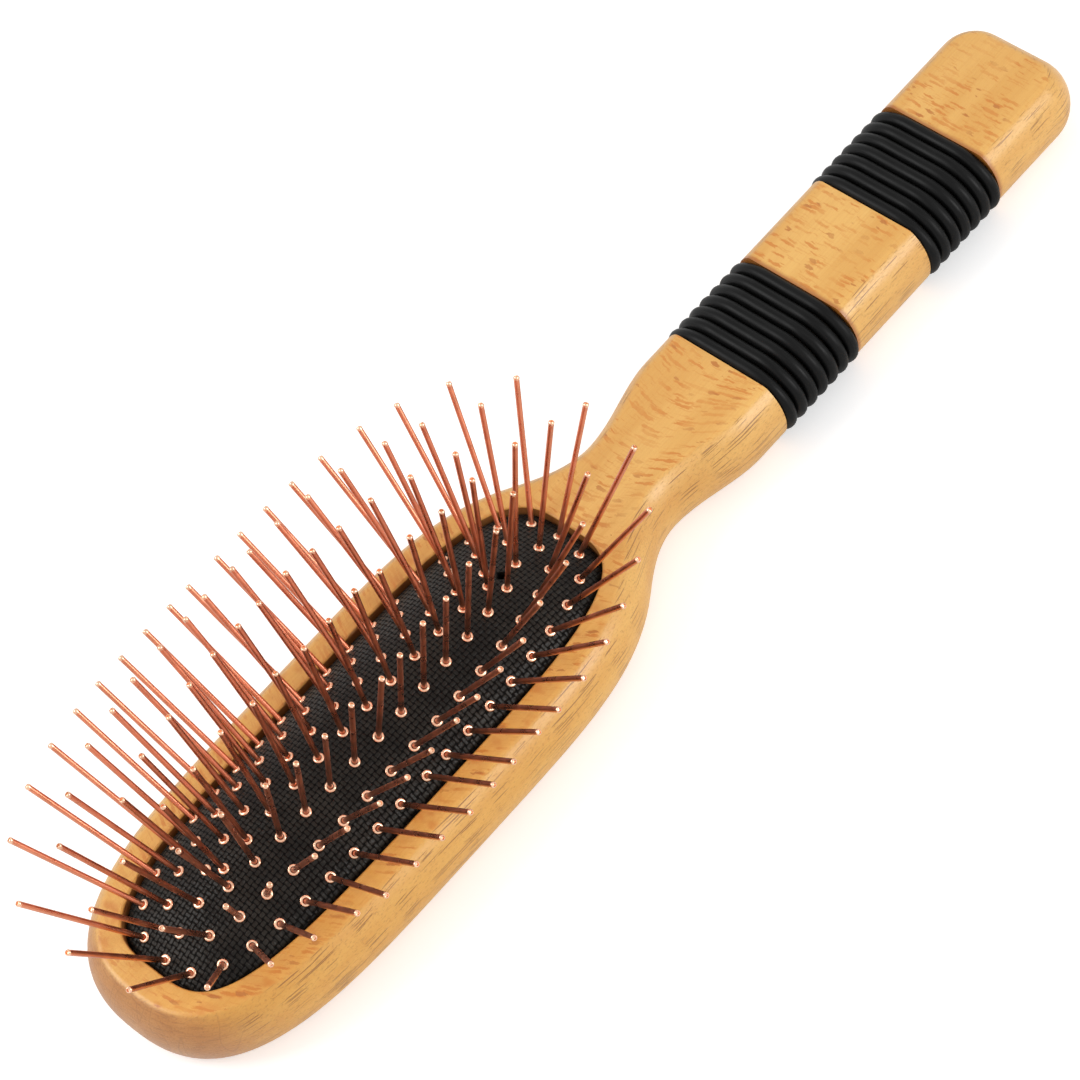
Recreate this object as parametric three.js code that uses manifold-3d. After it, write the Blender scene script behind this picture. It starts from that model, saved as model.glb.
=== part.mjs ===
// Oval pin brush for grooming pets: a beech body, an air cushion set with metal pins, and rubber grip rings.
// Millimetres, +Z up. The back lies on z = 0, the cushion is centred on the Z axis, the handle runs along +X.
import * as THREE from 'three';
import { mergeVertices } from 'three/addons/utils/BufferGeometryUtils.js';
import Module from 'manifold-3d';

const wasm = await Module();
wasm.setup();

// ---------------------------------------------------------------- sizes

// Between pieces that touch on the real brush.
const CLEARANCE = 0.3;

const recess = {
  halfLength: 52.2,
  halfWidth: 16.6,
  squareness: 3.7, // exponent of the superellipse
  floorDepth: 7,
  ledge: 1.7, // from the rim down to the edge of the cushion
  grooveDepth: 1.5, // undercut that holds the lip of the cushion
  grooveHeight: 2,
};

const wood = {
  thickness: 14.4,
  edgeWidth: 5.7, // of the round that the edge is cut from
  edgeSpare: 0.63, // height of that round past each face
  noseRim: 8.5, // from the recess to the nose
  sideRim: 7.75, // from the recess to the widest place of the head
  noseFlatness: 4, // exponents of the rounded nose, along and across the brush
  noseFullness: 2.5,
  shoulderGap: 1.8, // along the brush from the recess to the steepest place of the shoulder
  shoulderFall: 8.45, // how much narrower each side is there than the head
  shoulderSharpness: 4.5,
  neckReach: 13.5, // from the shoulder to the narrowest place of the neck
  neckHalfWidth: 10.15,
  gripReach: 19.5, // from the neck to the full width of the handle
  gripHalfWidth: 13.6,
  gripLength: 93,
  endHalfWidth: 13.8,
  endCorner: 8,
};

const cushion = {
  crownHeight: 9.65, // above the edge of the cushion
  sideFall: 0.87, // share of the height lost from the crown to the long side
  endFall: 0.88, // and to the ends
  endPower: 3.1,
  edgePower: 16, // the larger, the later the dome turns down into the recess
  wall: 1.3,
  ventX: 36.3, // on the centre line, between the ends of the inner rows
  ventRadius: 0.9,
};

const pin = {
  length: 27.6,
  radius: 0.51,
  tipLength: 0.35,
  collarRadius: 1.02,
  collarHeight: 0.4,
  shankRadius: 0.45, // inside the cushion
  holeRadius: 1,
  sides: 4,
};

// How the pins lean away from upright.
const fan = {
  sideDegrees: 48.3, // at the long sides of the outer row
  endDegrees: 29.5, // and at its two ends
  endPower: 2.75,
  endFade: 0.08, // share of the sideways lean lost at the ends
};

// Three rings of pins on superellipses, each drawn in from the edge of the recess.
const outerRow = { name: 'pins_outer_row', count: 40, endInset: 2.4, sideInset: 2.7, squareness: 3.23 };
const secondRow = { name: 'pins_second_row', count: 34, endInset: 6.9, sideInset: 6.6, squareness: 2.71 };
const thirdRow = { name: 'pins_third_row', count: 28, endInset: 12.4, sideInset: 11.5, squareness: 2.14 };

// And one straight row between them.
const centreRow = { name: 'pins_centre_row', count: 12, endInset: 19.1 };

// The strip of backing under the cushion that carries the heads of a row's pins.
const backing = { width: 2, thickness: 1, gap: 0.6 };

const ring = {
  cordRadius: 1.275,
  proud: 0.9, // of the wood around it
  bend: 8.5, // how far the turn round the edge reaches in from the outline
  count: 7, // in each band
  firstBand: 16.6, // from the full width of the handle to the middle of the first band
  lastBand: 36, // from the middle of the second band to the end of the handle
  sides: 6,
};

// Facets around the shapes.
const noseSteps = 12;
const shoulderSteps = 8;
const neckSteps = 6;
const gripSteps = 2;
const cornerSteps = 5;
const edgeSteps = 6;
const recessSteps = 64;
const cushionSteps = 36;
const sectionSteps = 8;

const noseX = -(recess.halfLength + wood.noseRim);
const headHalfWidth = recess.halfWidth + wood.sideRim;
const shoulderX = recess.halfLength + wood.shoulderGap;
const neckX = shoulderX + wood.neckReach;
const gripX = neckX + wood.gripReach;
const endX = gripX + wood.gripLength;
const bandCentres = [gripX + ring.firstBand, endX - ring.lastBand];
const rimZ = wood.thickness;
const seatZ = rimZ - recess.ledge;
const ringPitch = 2 * ring.cordRadius + CLEARANCE;
const radians = THREE.MathUtils.degToRad;

// ---------------------------------------------------------------- meshes and solids

// A closed geometry from a list of rings, each with the same number of points. With ends 'joined' the last
// ring meets the first, with 'flat' each end is filled round its middle, and with 'ladder' it is filled by
// rungs across a long ring whose points lie in pairs either side of its first.
function skin(rings, ends) {
  const around = rings[0].length;
  const positions = rings.flat().flatMap((p) => [p.x, p.y, p.z]);
  const faces = [];
  const spans = ends === 'joined' ? rings.length : rings.length - 1;
  for (let i = 0; i < spans; i += 1) {
    const next = (i + 1) % rings.length;
    for (let j = 0; j < around; j += 1) {
      const k = (j + 1) % around;
      const [a, b, c, d] = [i * around + j, i * around + k, next * around + k, next * around + j];
      faces.push(a, b, c, a, c, d);
    }
  }
  if (ends === 'joined') return closedGeometry(positions, faces);
  const caps = [0, rings.length - 1].map((index) => {
    const start = index * around;
    if (ends === 'flat') {
      const middle = rings[index].reduce((sum, p) => sum.add(p), new THREE.Vector3()).divideScalar(around);
      positions.push(middle.x, middle.y, middle.z);
      const hub = positions.length / 3 - 1;
      return rings[index].flatMap((_, j) => [start + ((j + 1) % around), start + j, hub]);
    }
    const cap = [];
    for (let j = 0; j < around / 2 - 1; j += 1) {
      const [a, b, c, d] = [j, j + 1, around - 2 - j, around - 1 - j].map((v) => start + v);
      cap.push(b, a, c, a, d, c);
    }
    return cap;
  });
  faces.push(...caps[0], ...caps[1].reverse());
  return closedGeometry(positions, faces);
}

// Geometry from points and faces, turned inside out if its faces point in.
function closedGeometry(positions, faces) {
  const geometry = new THREE.BufferGeometry();
  geometry.setAttribute('position', new THREE.Float32BufferAttribute(positions, 3));
  const corner = (i) => new THREE.Vector3().fromArray(positions, 3 * i);
  let volume = 0;
  for (let i = 0; i < faces.length; i += 3) {
    volume += corner(faces[i]).dot(corner(faces[i + 1]).cross(corner(faces[i + 2])));
  }
  geometry.setIndex(volume < 0 ? faces.reverse() : faces);
  return geometry;
}

// A three.js geometry as a manifold-3d solid.
function solid(geometry) {
  const bare = geometry.clone();
  bare.deleteAttribute('normal');
  bare.deleteAttribute('uv');
  const merged = mergeVertices(bare, 1e-4);
  const mesh = new wasm.Mesh({
    numProp: 3,
    vertProperties: new Float32Array(merged.attributes.position.array),
    triVerts: new Uint32Array(merged.index.array),
  });
  return new wasm.Manifold(mesh);
}

// And back again.
function geometryOf(body) {
  const mesh = body.getMesh();
  const geometry = new THREE.BufferGeometry();
  geometry.setAttribute('position', new THREE.Float32BufferAttribute(mesh.vertProperties, 3));
  geometry.setIndex(Array.from(mesh.triVerts));
  geometry.computeVertexNormals();
  return geometry;
}

const joinAll = (bodies) => bodies.reduce((sum, body) => sum.add(body));

// ---------------------------------------------------------------- the wooden body

// A curve from one height to another over a span, with a given slope at each end.
function blend(x, from, to) {
  const span = to.x - from.x;
  const t = (x - from.x) / span;
  const rise = 3 * t ** 2 - 2 * t ** 3;
  const leave = t - 2 * t ** 2 + t ** 3;
  const arrive = t ** 3 - t ** 2;
  return from.y + (to.y - from.y) * rise + span * (from.slope * leave + to.slope * arrive);
}

// Half the width of the body at each x between the head's widest place and the end of the handle.
function halfWidthAt(x) {
  if (x < shoulderX) {
    return headHalfWidth - wood.shoulderFall * (x / shoulderX) ** wood.shoulderSharpness;
  }
  const gripSlope = (wood.endHalfWidth - wood.gripHalfWidth) / wood.gripLength;
  const shoulderSlope = (-wood.shoulderFall * wood.shoulderSharpness) / shoulderX;
  const shoulder = { x: shoulderX, y: headHalfWidth - wood.shoulderFall, slope: shoulderSlope };
  const neck = { x: neckX, y: wood.neckHalfWidth, slope: 0 };
  const grip = { x: gripX, y: wood.gripHalfWidth, slope: gripSlope };
  if (x < neckX) return blend(x, shoulder, neck);
  if (x < gripX) return blend(x, neck, grip);
  return grip.y + gripSlope * (x - gripX);
}

// The outline seen from above, round from the nose, past the end of the handle and back.
function bodyOutline() {
  const side = [];
  for (let i = 1; i < noseSteps; i += 1) {
    const turn = (i / noseSteps) * (Math.PI / 2);
    const x = noseX * Math.cos(turn) ** (2 / wood.noseFlatness);
    const y = headHalfWidth * Math.sin(turn) ** (2 / wood.noseFullness);
    side.push(new THREE.Vector2(x, y));
  }
  const stretches = [
    [0, shoulderX, shoulderSteps],
    [shoulderX, neckX, neckSteps],
    [neckX, gripX, neckSteps],
    [gripX, endX - wood.endCorner, gripSteps],
  ];
  for (const [start, end, steps] of stretches) {
    for (let i = 0; i < steps; i += 1) {
      const x = start + ((end - start) * i) / steps;
      side.push(new THREE.Vector2(x, halfWidthAt(x)));
    }
  }
  const corner = new THREE.Vector2(endX - wood.endCorner, wood.endHalfWidth - wood.endCorner);
  for (let i = 0; i <= cornerSteps; i += 1) {
    const turn = (1 - i / cornerSteps) * (Math.PI / 2);
    const arm = new THREE.Vector2(Math.cos(turn), Math.sin(turn)).multiplyScalar(wood.endCorner);
    side.push(corner.clone().add(arm));
  }
  const mirrored = side.map((p) => new THREE.Vector2(p.x, -p.y)).reverse();
  return [new THREE.Vector2(noseX, 0), ...side, ...mirrored];
}

// The outline drawn in by a distance, square to its own run.
function drawnIn(outline, distance) {
  const count = outline.length;
  return outline.map((p, i) => {
    const run = outline[(i + 1) % count].clone().sub(outline[(i + count - 1) % count]).normalize();
    return new THREE.Vector2(p.x + run.y * distance, p.y - run.x * distance);
  });
}

// A plate with the outline of the body. Its faces cut off the top and the foot of the round of its edge.
function bodyPlate() {
  const outline = bodyOutline();
  const half = wood.thickness / 2;
  const round = half + wood.edgeSpare;
  const reach = Math.asin(half / round);
  const rings = [];
  for (let i = 0; i <= edgeSteps; i += 1) {
    const turn = ((2 * i) / edgeSteps - 1) * reach;
    const z = half + round * Math.sin(turn);
    const line = drawnIn(outline, wood.edgeWidth * (1 - Math.cos(turn)));
    rings.push(line.map((p) => new THREE.Vector3(p.x, p.y, z)));
  }
  const count = outline.length;
  const positions = rings.flat().flatMap((p) => [p.x, p.y, p.z]);
  const faces = [];
  for (let i = 0; i < edgeSteps; i += 1) {
    for (let j = 0; j < count; j += 1) {
      const k = (j + 1) % count;
      faces.push(i * count + j, (i + 1) * count + k, i * count + k);
      faces.push(i * count + j, (i + 1) * count + j, (i + 1) * count + k);
    }
  }
  const flat = rings[0].map((p) => new THREE.Vector2(p.x, p.y));
  const top = edgeSteps * count;
  for (const [a, b, c] of THREE.ShapeUtils.triangulateShape(flat, [])) {
    const lower = THREE.ShapeUtils.area([flat[a], flat[b], flat[c]]) > 0 ? [c, b, a] : [a, b, c];
    faces.push(...lower, ...[...lower].reverse().map((v) => v + top));
  }
  return closedGeometry(positions, faces);
}

// The path of a ring round the handle at x, drawn in all round by a distance.
function ringPath(x, distance) {
  const half = wood.thickness / 2;
  const middle = halfWidthAt(x) - ring.bend;
  const side = [];
  for (let i = 0; i <= sectionSteps; i += 1) {
    const turn = (0.5 - i / sectionSteps) * Math.PI;
    const y = middle + (ring.bend - distance) * Math.cos(turn);
    const z = half + (half - distance) * Math.sin(turn);
    side.push(new THREE.Vector3(x, y, z));
  }
  return [...side, ...side.map((p) => new THREE.Vector3(x, -p.y, p.z)).reverse()];
}

// The shallow seat of one band of rings, as the solid to cut away.
function ringSeat(centreX) {
  const reach = (ring.count * ringPitch + CLEARANCE) / 2;
  const depth = 2 * ring.cordRadius - ring.proud + CLEARANCE;
  const spare = 2;
  const collar = new THREE.BoxGeometry(2 * reach, 4 * wood.endHalfWidth, 2 * wood.thickness);
  collar.translate(centreX, 0, wood.thickness / 2);
  const stations = [-reach - spare, 0, reach + spare];
  const core = skin(stations.map((offset) => ringPath(centreX + offset, depth)), 'flat');
  return solid(collar).subtract(solid(core));
}

// ---------------------------------------------------------------- the recess and the cushion

// A point on a superellipse.
function superellipse(turn, halfLength, halfWidth, squareness) {
  const power = 2 / squareness;
  const x = halfLength * Math.sign(Math.cos(turn)) * Math.abs(Math.cos(turn)) ** power;
  const y = halfWidth * Math.sign(Math.sin(turn)) * Math.abs(Math.sin(turn)) ** power;
  return new THREE.Vector2(x, y);
}

// Points that share out the length of a superellipse evenly, the first one a share of a step from its +X end.
function evenPoints(count, { halfLength, halfWidth, squareness }, share = 0) {
  const fine = 4000;
  const curve = Array.from({ length: fine + 1 }, (_, i) => (
    superellipse((2 * Math.PI * i) / fine, halfLength, halfWidth, squareness)));
  const lengths = [0];
  for (let i = 1; i <= fine; i += 1) {
    lengths.push(lengths[i - 1] + curve[i].distanceTo(curve[i - 1]));
  }
  const points = [];
  let j = 0;
  for (let i = 0; i < count; i += 1) {
    while (lengths[j] < (lengths[fine] * (i + share)) / count) j += 1;
    points.push(curve[j]);
  }
  return points;
}

// The curve that a row of pins stands on.
function rowCurve({ endInset, sideInset, squareness }) {
  return {
    halfLength: recess.halfLength - endInset,
    halfWidth: recess.halfWidth - sideInset,
    squareness,
  };
}

// The edge of the recess, moved out by a distance.
function recessRing(count, outward, z) {
  const { halfLength, halfWidth, squareness } = recess;
  const moved = { halfLength: halfLength + outward, halfWidth: halfWidth + outward, squareness };
  return evenPoints(count, moved, 0.5).map((p) => new THREE.Vector3(p.x, p.y, z));
}

// The recess with the groove in its wall, as the solid to cut away.
function recessCut() {
  const floorZ = rimZ - recess.floorDepth;
  const grooveTop = seatZ;
  const grooveFoot = grooveTop - recess.grooveHeight;
  const profile = [
    [0, floorZ],
    [0, grooveFoot],
    [recess.grooveDepth, grooveFoot],
    [recess.grooveDepth, grooveTop],
    [0, grooveTop],
    [0, rimZ + recess.ledge],
  ];
  return solid(skin(profile.map(([outward, z]) => recessRing(recessSteps, outward, z)), 'flat'));
}

// Size of the dome, a clearance short of the wall of the recess.
const domeHalfLength = recess.halfLength - CLEARANCE;
const domeHalfWidth = recess.halfWidth - CLEARANCE;

// Height of the dome above z = 0.
function domeZ(x, y) {
  const u = Math.abs(x) / domeHalfLength;
  const v = Math.abs(y) / domeHalfWidth;
  const reach = (u ** recess.squareness + v ** recess.squareness) ** (1 / recess.squareness);
  const across = 1 - cushion.sideFall * v ** 2;
  const along = 1 - cushion.endFall * u ** cushion.endPower;
  const edge = Math.sqrt(Math.max(0, 1 - reach ** cushion.edgePower));
  return seatZ - CLEARANCE + cushion.crownHeight * across * along * edge;
}

// A point of the dome above x, y or, by the wall of the cushion, under it.
function domePoint({ x, y }, depth) {
  const step = 0.01;
  const slopeX = (domeZ(x + step, y) - domeZ(x - step, y)) / (2 * step);
  const slopeY = (domeZ(x, y + step) - domeZ(x, y - step)) / (2 * step);
  const outward = new THREE.Vector3(-slopeX, -slopeY, 1).normalize();
  return new THREE.Vector3(x, y, domeZ(x, y)).addScaledVector(outward, -depth);
}

// A curve between two others, at a share of the way.
function between(one, other, share) {
  const mix = (key) => one[key] + (other[key] - one[key]) * share;
  return { halfLength: mix('halfLength'), halfWidth: mix('halfWidth'), squareness: mix('squareness') };
}

// The cushion: a domed rubber skin whose lip sits in the groove of the recess, with a hole for each pin and
// an air vent, open underneath. The edges of its facets run between the rows of pins.
function cushionSkin(places) {
  const lipTop = seatZ - CLEARANCE;
  const lipFoot = seatZ - recess.grooveHeight + CLEARANCE;
  const lipReach = recess.grooveDepth - CLEARANCE;
  const edge = { halfLength: domeHalfLength, halfWidth: domeHalfWidth, squareness: recess.squareness };
  const middle = { halfLength: rowCurve(centreRow).halfLength, halfWidth: 0, squareness: 2 };
  const [outerCurve, secondCurve, thirdCurve] = [outerRow, secondRow, thirdRow].map(rowCurve);
  const curves = [
    between(middle, thirdCurve, 0.5),
    between(thirdCurve, secondCurve, 0.5),
    between(secondCurve, outerCurve, 0.5),
    between(outerCurve, edge, 0.45),
    between(outerCurve, edge, 0.85),
  ];
  const domeRing = (curve, depth) => (
    evenPoints(cushionSteps, curve, 0.5).map((p) => domePoint(p, depth)));
  const lip = [
    recessRing(cushionSteps, -CLEARANCE, lipTop),
    recessRing(cushionSteps, lipReach, lipTop),
    recessRing(cushionSteps, lipReach, lipFoot),
    recessRing(cushionSteps, -CLEARANCE - cushion.wall, lipFoot),
  ];
  const outer = curves.map((curve) => domeRing(curve, 0));
  const inner = curves.slice(0, -1).map((curve) => domeRing(curve, cushion.wall)).reverse();
  const holes = places.map(({ base, lean }) => {
    const punch = new THREE.CylinderGeometry(pin.holeRadius, pin.holeRadius, 6 * cushion.wall, 4);
    return solid(standing(punch, base, lean));
  });
  const vent = new THREE.CylinderGeometry(cushion.ventRadius, cushion.ventRadius, 6 * cushion.wall, 5);
  const ventBase = domePoint({ x: cushion.ventX, y: 0 }, 0);
  holes.push(solid(standing(vent, ventBase, new THREE.Vector3(0, 0, 1))));
  return solid(skin([...outer, ...lip, ...inner], 'ladder')).subtract(joinAll(holes));
}

// ---------------------------------------------------------------- the pins

// Geometry drawn around the Y axis, stood on a point with Y along a direction.
function standing(geometry, base, direction) {
  const turn = new THREE.Quaternion().setFromUnitVectors(new THREE.Vector3(0, 1, 0), direction);
  return geometry.applyQuaternion(turn).translate(base.x, base.y, base.z);
}

// Where a pin leaves the dome at x, y, and which way it leans.
function pinPlace(x, y) {
  const { halfLength, halfWidth } = rowCurve(outerRow);
  const share = Math.abs(x) / halfLength;
  const fade = 1 - fan.endFade * share ** 2;
  const sideways = Math.tan(radians((fan.sideDegrees * y) / halfWidth)) * fade;
  const endways = Math.sign(x) * Math.tan(radians(fan.endDegrees * share ** fan.endPower));
  const lean = new THREE.Vector3(endways, sideways, 1).normalize();
  return { base: new THREE.Vector3(x, y, domeZ(x, y)), lean };
}

function ringPlaces(row) {
  return evenPoints(row.count, rowCurve(row)).map((p) => pinPlace(p.x, p.y));
}

function centrePlaces() {
  const { halfLength } = rowCurve(centreRow);
  const pitch = (2 * halfLength) / (centreRow.count - 1);
  return Array.from({ length: centreRow.count }, (_, i) => pinPlace(i * pitch - halfLength, 0));
}

// How far below the dome the middle of the backing runs.
const backingDepth = cushion.wall + backing.gap + backing.thickness / 2;

// One pin: the shank in the cushion, the collar on top of it, the wire and its rounded tip.
function pinSolid({ base, lean }) {
  const collarFoot = CLEARANCE;
  const collarTop = collarFoot + pin.collarHeight;
  const profile = [
    [0, -backingDepth],
    [pin.shankRadius, -backingDepth],
    [pin.shankRadius, collarFoot],
    [pin.collarRadius, collarFoot],
    [pin.collarRadius, collarTop],
    [pin.radius, collarTop],
    [pin.radius, pin.length - pin.tipLength],
    [0, pin.length],
  ].map(([r, y]) => new THREE.Vector2(r, y));
  return solid(standing(new THREE.LatheGeometry(profile, pin.sides), base, lean));
}

// Cross-section of the backing strip under one pin, square to the run of the row.
function backingSection({ base, lean }, run, shift = 0) {
  const centre = base.clone().addScaledVector(lean, -backingDepth).addScaledVector(run, shift);
  const across = lean.clone().cross(run).normalize();
  const up = run.clone().cross(across).normalize();
  const corners = [[1, 1], [-1, 1], [-1, -1], [1, -1]];
  return corners.map(([a, b]) => centre.clone()
    .addScaledVector(across, (a * backing.width) / 2)
    .addScaledVector(up, (b * backing.thickness) / 2));
}

// A closed strip under a ring of pins.
function backingRing(places) {
  const count = places.length;
  const sections = places.map((place, i) => {
    const run = places[(i + 1) % count].base.clone().sub(places[(i + count - 1) % count].base);
    return backingSection(place, run.normalize());
  });
  return solid(skin(sections, 'joined'));
}

// A straight strip under the centre row, half its width longer at each end.
function backingBar(places) {
  const run = new THREE.Vector3(1, 0, 0);
  const spare = backing.width / 2;
  const first = backingSection(places[0], run, -spare);
  const last = backingSection(places[places.length - 1], run, spare);
  return solid(skin([first, ...places.map((place) => backingSection(place, run)), last], 'flat'));
}

// ---------------------------------------------------------------- the grip rings

// One rubber ring round the handle, lying in its seat.
function gripRing(x) {
  const inset = ring.cordRadius - ring.proud;
  const path = ringPath(x, inset);
  const count = path.length;
  const sections = path.map((p, i) => {
    const run = path[(i + 1) % count].clone().sub(path[(i + count - 1) % count]).normalize();
    const along = new THREE.Vector3(1, 0, 0);
    const out = run.clone().cross(along);
    return Array.from({ length: ring.sides }, (_, j) => {
      const turn = (2 * Math.PI * (j + 0.5)) / ring.sides;
      return p.clone()
        .addScaledVector(along, ring.cordRadius * Math.cos(turn))
        .addScaledVector(out, ring.cordRadius * Math.sin(turn));
    });
  });
  return skin(sections, 'joined');
}

// ---------------------------------------------------------------- the brush

const beech = new THREE.MeshStandardMaterial({ color: 0xd9a860, roughness: 0.4, metalness: 0 });
const cushionRubber = new THREE.MeshStandardMaterial({ color: 0x1c1d1f, roughness: 0.7, metalness: 0 });
const copperSteel = new THREE.MeshStandardMaterial({ color: 0xc58062, roughness: 0.25, metalness: 1 });
const gripRubber = new THREE.MeshStandardMaterial({ color: 0x161617, roughness: 0.8, metalness: 0 });

const brush = new THREE.Group();

function addPiece(name, geometry, material) {
  const mesh = new THREE.Mesh(geometry, material);
  mesh.name = name;
  brush.add(mesh);
}

const woodenBody = bandCentres.reduce(
  (body, centreX) => body.subtract(ringSeat(centreX)),
  solid(bodyPlate()).subtract(recessCut()),
);
addPiece('wooden_body', geometryOf(woodenBody), beech);

const rows = [outerRow, secondRow, thirdRow].map((row) => (
  { name: row.name, places: ringPlaces(row), strip: backingRing }));
rows.push({ name: centreRow.name, places: centrePlaces(), strip: backingBar });

addPiece('cushion_membrane', geometryOf(cushionSkin(rows.flatMap((row) => row.places))), cushionRubber);

for (const { name, places, strip } of rows) {
  const body = joinAll(places.map(pinSolid)).add(strip(places));
  addPiece(name, geometryOf(body), copperSteel);
}

bandCentres.forEach((centreX, band) => {
  for (let i = 0; i < ring.count; i += 1) {
    const x = centreX + (i - (ring.count - 1) / 2) * ringPitch;
    addPiece(`grip_ring_${band + 1}_${i + 1}`, gripRing(x), gripRubber);
  }
});

export default brush;
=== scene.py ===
"""Oval pin brush: the dressed model, built on its solid frame.

Metres, +Z up, the handle along +X and the back of the brush on z = 0.
"""

import math
import random

import bmesh
import bpy
from bpy.props import FloatProperty, FloatVectorProperty, IntProperty, PointerProperty
from mathutils import Matrix, Vector


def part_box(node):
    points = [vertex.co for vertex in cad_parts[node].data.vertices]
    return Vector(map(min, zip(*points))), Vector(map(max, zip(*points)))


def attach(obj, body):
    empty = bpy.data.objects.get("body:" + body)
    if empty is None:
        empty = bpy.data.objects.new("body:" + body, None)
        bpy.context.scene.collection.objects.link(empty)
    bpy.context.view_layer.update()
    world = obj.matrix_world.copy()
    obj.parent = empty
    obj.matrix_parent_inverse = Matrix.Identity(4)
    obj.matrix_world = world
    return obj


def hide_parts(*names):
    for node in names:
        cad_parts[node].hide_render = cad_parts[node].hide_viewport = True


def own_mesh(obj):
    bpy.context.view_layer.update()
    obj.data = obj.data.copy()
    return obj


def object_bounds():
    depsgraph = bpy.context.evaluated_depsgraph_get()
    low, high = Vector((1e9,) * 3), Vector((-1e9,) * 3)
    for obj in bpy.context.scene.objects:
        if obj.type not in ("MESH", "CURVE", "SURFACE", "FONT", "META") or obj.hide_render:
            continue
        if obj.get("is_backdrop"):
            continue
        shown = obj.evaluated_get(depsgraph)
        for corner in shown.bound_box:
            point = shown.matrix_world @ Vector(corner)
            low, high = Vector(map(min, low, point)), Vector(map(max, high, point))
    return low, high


bl_info = {
    "name": "Oval Pin Brush",
    "version": (1, 0, 0),
    "blender": (4, 5, 0),
    "location": "3D View > Sidebar > Pin Brush",
    "description": "Builds an oval pin brush: beech body, rubber air cushion, copper pins and grip rings",
    "category": "Object",
}

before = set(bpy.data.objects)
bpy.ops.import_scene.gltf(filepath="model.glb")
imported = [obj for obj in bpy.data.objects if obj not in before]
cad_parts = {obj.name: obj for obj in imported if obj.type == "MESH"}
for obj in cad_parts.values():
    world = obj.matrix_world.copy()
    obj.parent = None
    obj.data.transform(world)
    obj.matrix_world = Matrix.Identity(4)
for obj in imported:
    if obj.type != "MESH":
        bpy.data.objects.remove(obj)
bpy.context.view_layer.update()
BODY_LOW, BODY_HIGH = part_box("wooden_body")
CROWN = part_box("cushion_membrane")[1].z

MM = 0.001


def setting(kind, **extra):
    """A kind of value that the user can change."""
    return lambda name, description, default: kind(
        name=name, description=description, default=default, **extra
    )


length = setting(FloatProperty, unit="LENGTH", precision=5)
angle = setting(FloatProperty, subtype="ANGLE")
plain = setting(FloatProperty)
faces = setting(IntProperty, min=6)
number = setting(IntProperty, min=1)
colour = setting(FloatVectorProperty, subtype="COLOR", size=3, min=0, max=1)


# ---------------- settings


class BrushBodySettings(bpy.types.PropertyGroup):
    """Sizes of the wooden body."""

    thickness: length("Thickness", "From the back to the face of the body", BODY_HIGH.z)
    nose: length("Nose", "Distance from the middle of the cushion to the nose", -BODY_LOW.x)
    end: length("End", "Distance from the middle of the cushion to the end of the handle", BODY_HIGH.x)
    head_half_width: length("Head half width", "Half the width of the head", BODY_HIGH.y)
    edge_round: length("Edge round", "Width of the round that the edge is cut from", 5.7 * MM)
    edge_spare: length("Edge spare", "Height of that round past each face", 0.63 * MM)
    nose_flatness: plain("Nose flatness", "Exponent along the brush", 4)
    nose_fullness: plain("Nose fullness", "Exponent across the brush", 2.5)
    shoulder: length("Shoulder", "Where the shoulder is steepest", 54 * MM)
    shoulder_fall: length("Shoulder fall", "How much narrower each side is there", 8.45 * MM)
    shoulder_sharpness: plain("Shoulder sharpness", "Exponent of the fall", 4.5)
    neck: length("Neck", "Where the body is narrowest", 67.5 * MM)
    neck_half_width: length("Neck half width", "Half the width of the neck", 10.15 * MM)
    grip: length("Grip", "Where the handle reaches its width", 87 * MM)
    grip_half_width: length("Grip half width", "Half the width of the handle there", 13.6 * MM)
    end_half_width: length("End half width", "Half the width of the handle at its end", 13.8 * MM)
    end_corner: length("End corner", "Radius of the corners of the end", 8 * MM)
    crease: length("Crease", "Softening of the rim of each flat face", 0.5 * MM)
    seat_depth: length("Seat depth", "Depth of the seat of a band of rings", 2.5 * MM)
    rim_rounding: length("Rim rounding", "Rounding of the edge of the recess", 0.4 * MM)


class BrushCushionSettings(bpy.types.PropertyGroup):
    """Sizes of the recess and of the rubber cushion in it."""

    half_length: length("Half length", "Half the length of the recess", 52.2 * MM)
    half_width: length("Half width", "Half the width of the recess", 16.6 * MM)
    squareness: plain("Squareness", "Exponent of the outline", 3.7)
    recess_depth: length("Recess depth", "From the face of the wood to the floor", 7 * MM)
    ledge: length("Ledge", "From the face of the wood down to the edge of the cushion", 1.7 * MM)
    clearance: length("Clearance", "Between the rubber and the wood", 0.3 * MM)
    crown: length("Crown", "Height of the middle of the cushion", CROWN)
    side_fall: plain("Side fall", "Share of the height lost at the long sides", 0.87)
    end_fall: plain("End fall", "Share of the height lost at the ends", 0.88)
    end_power: plain("End power", "How late the dome falls to its ends", 3.1)
    edge_power: plain("Edge power", "How late the dome turns down", 16)
    wall: length("Wall", "Thickness of the rubber", 1.3 * MM)
    vent: length("Vent", "Where the air vent is on the centre line", 36.3 * MM)
    vent_radius: length("Vent radius", "Radius of the air vent", 0.9 * MM)
    thread: length("Thread", "Pitch of the woven emboss", 0.93 * MM)


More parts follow.
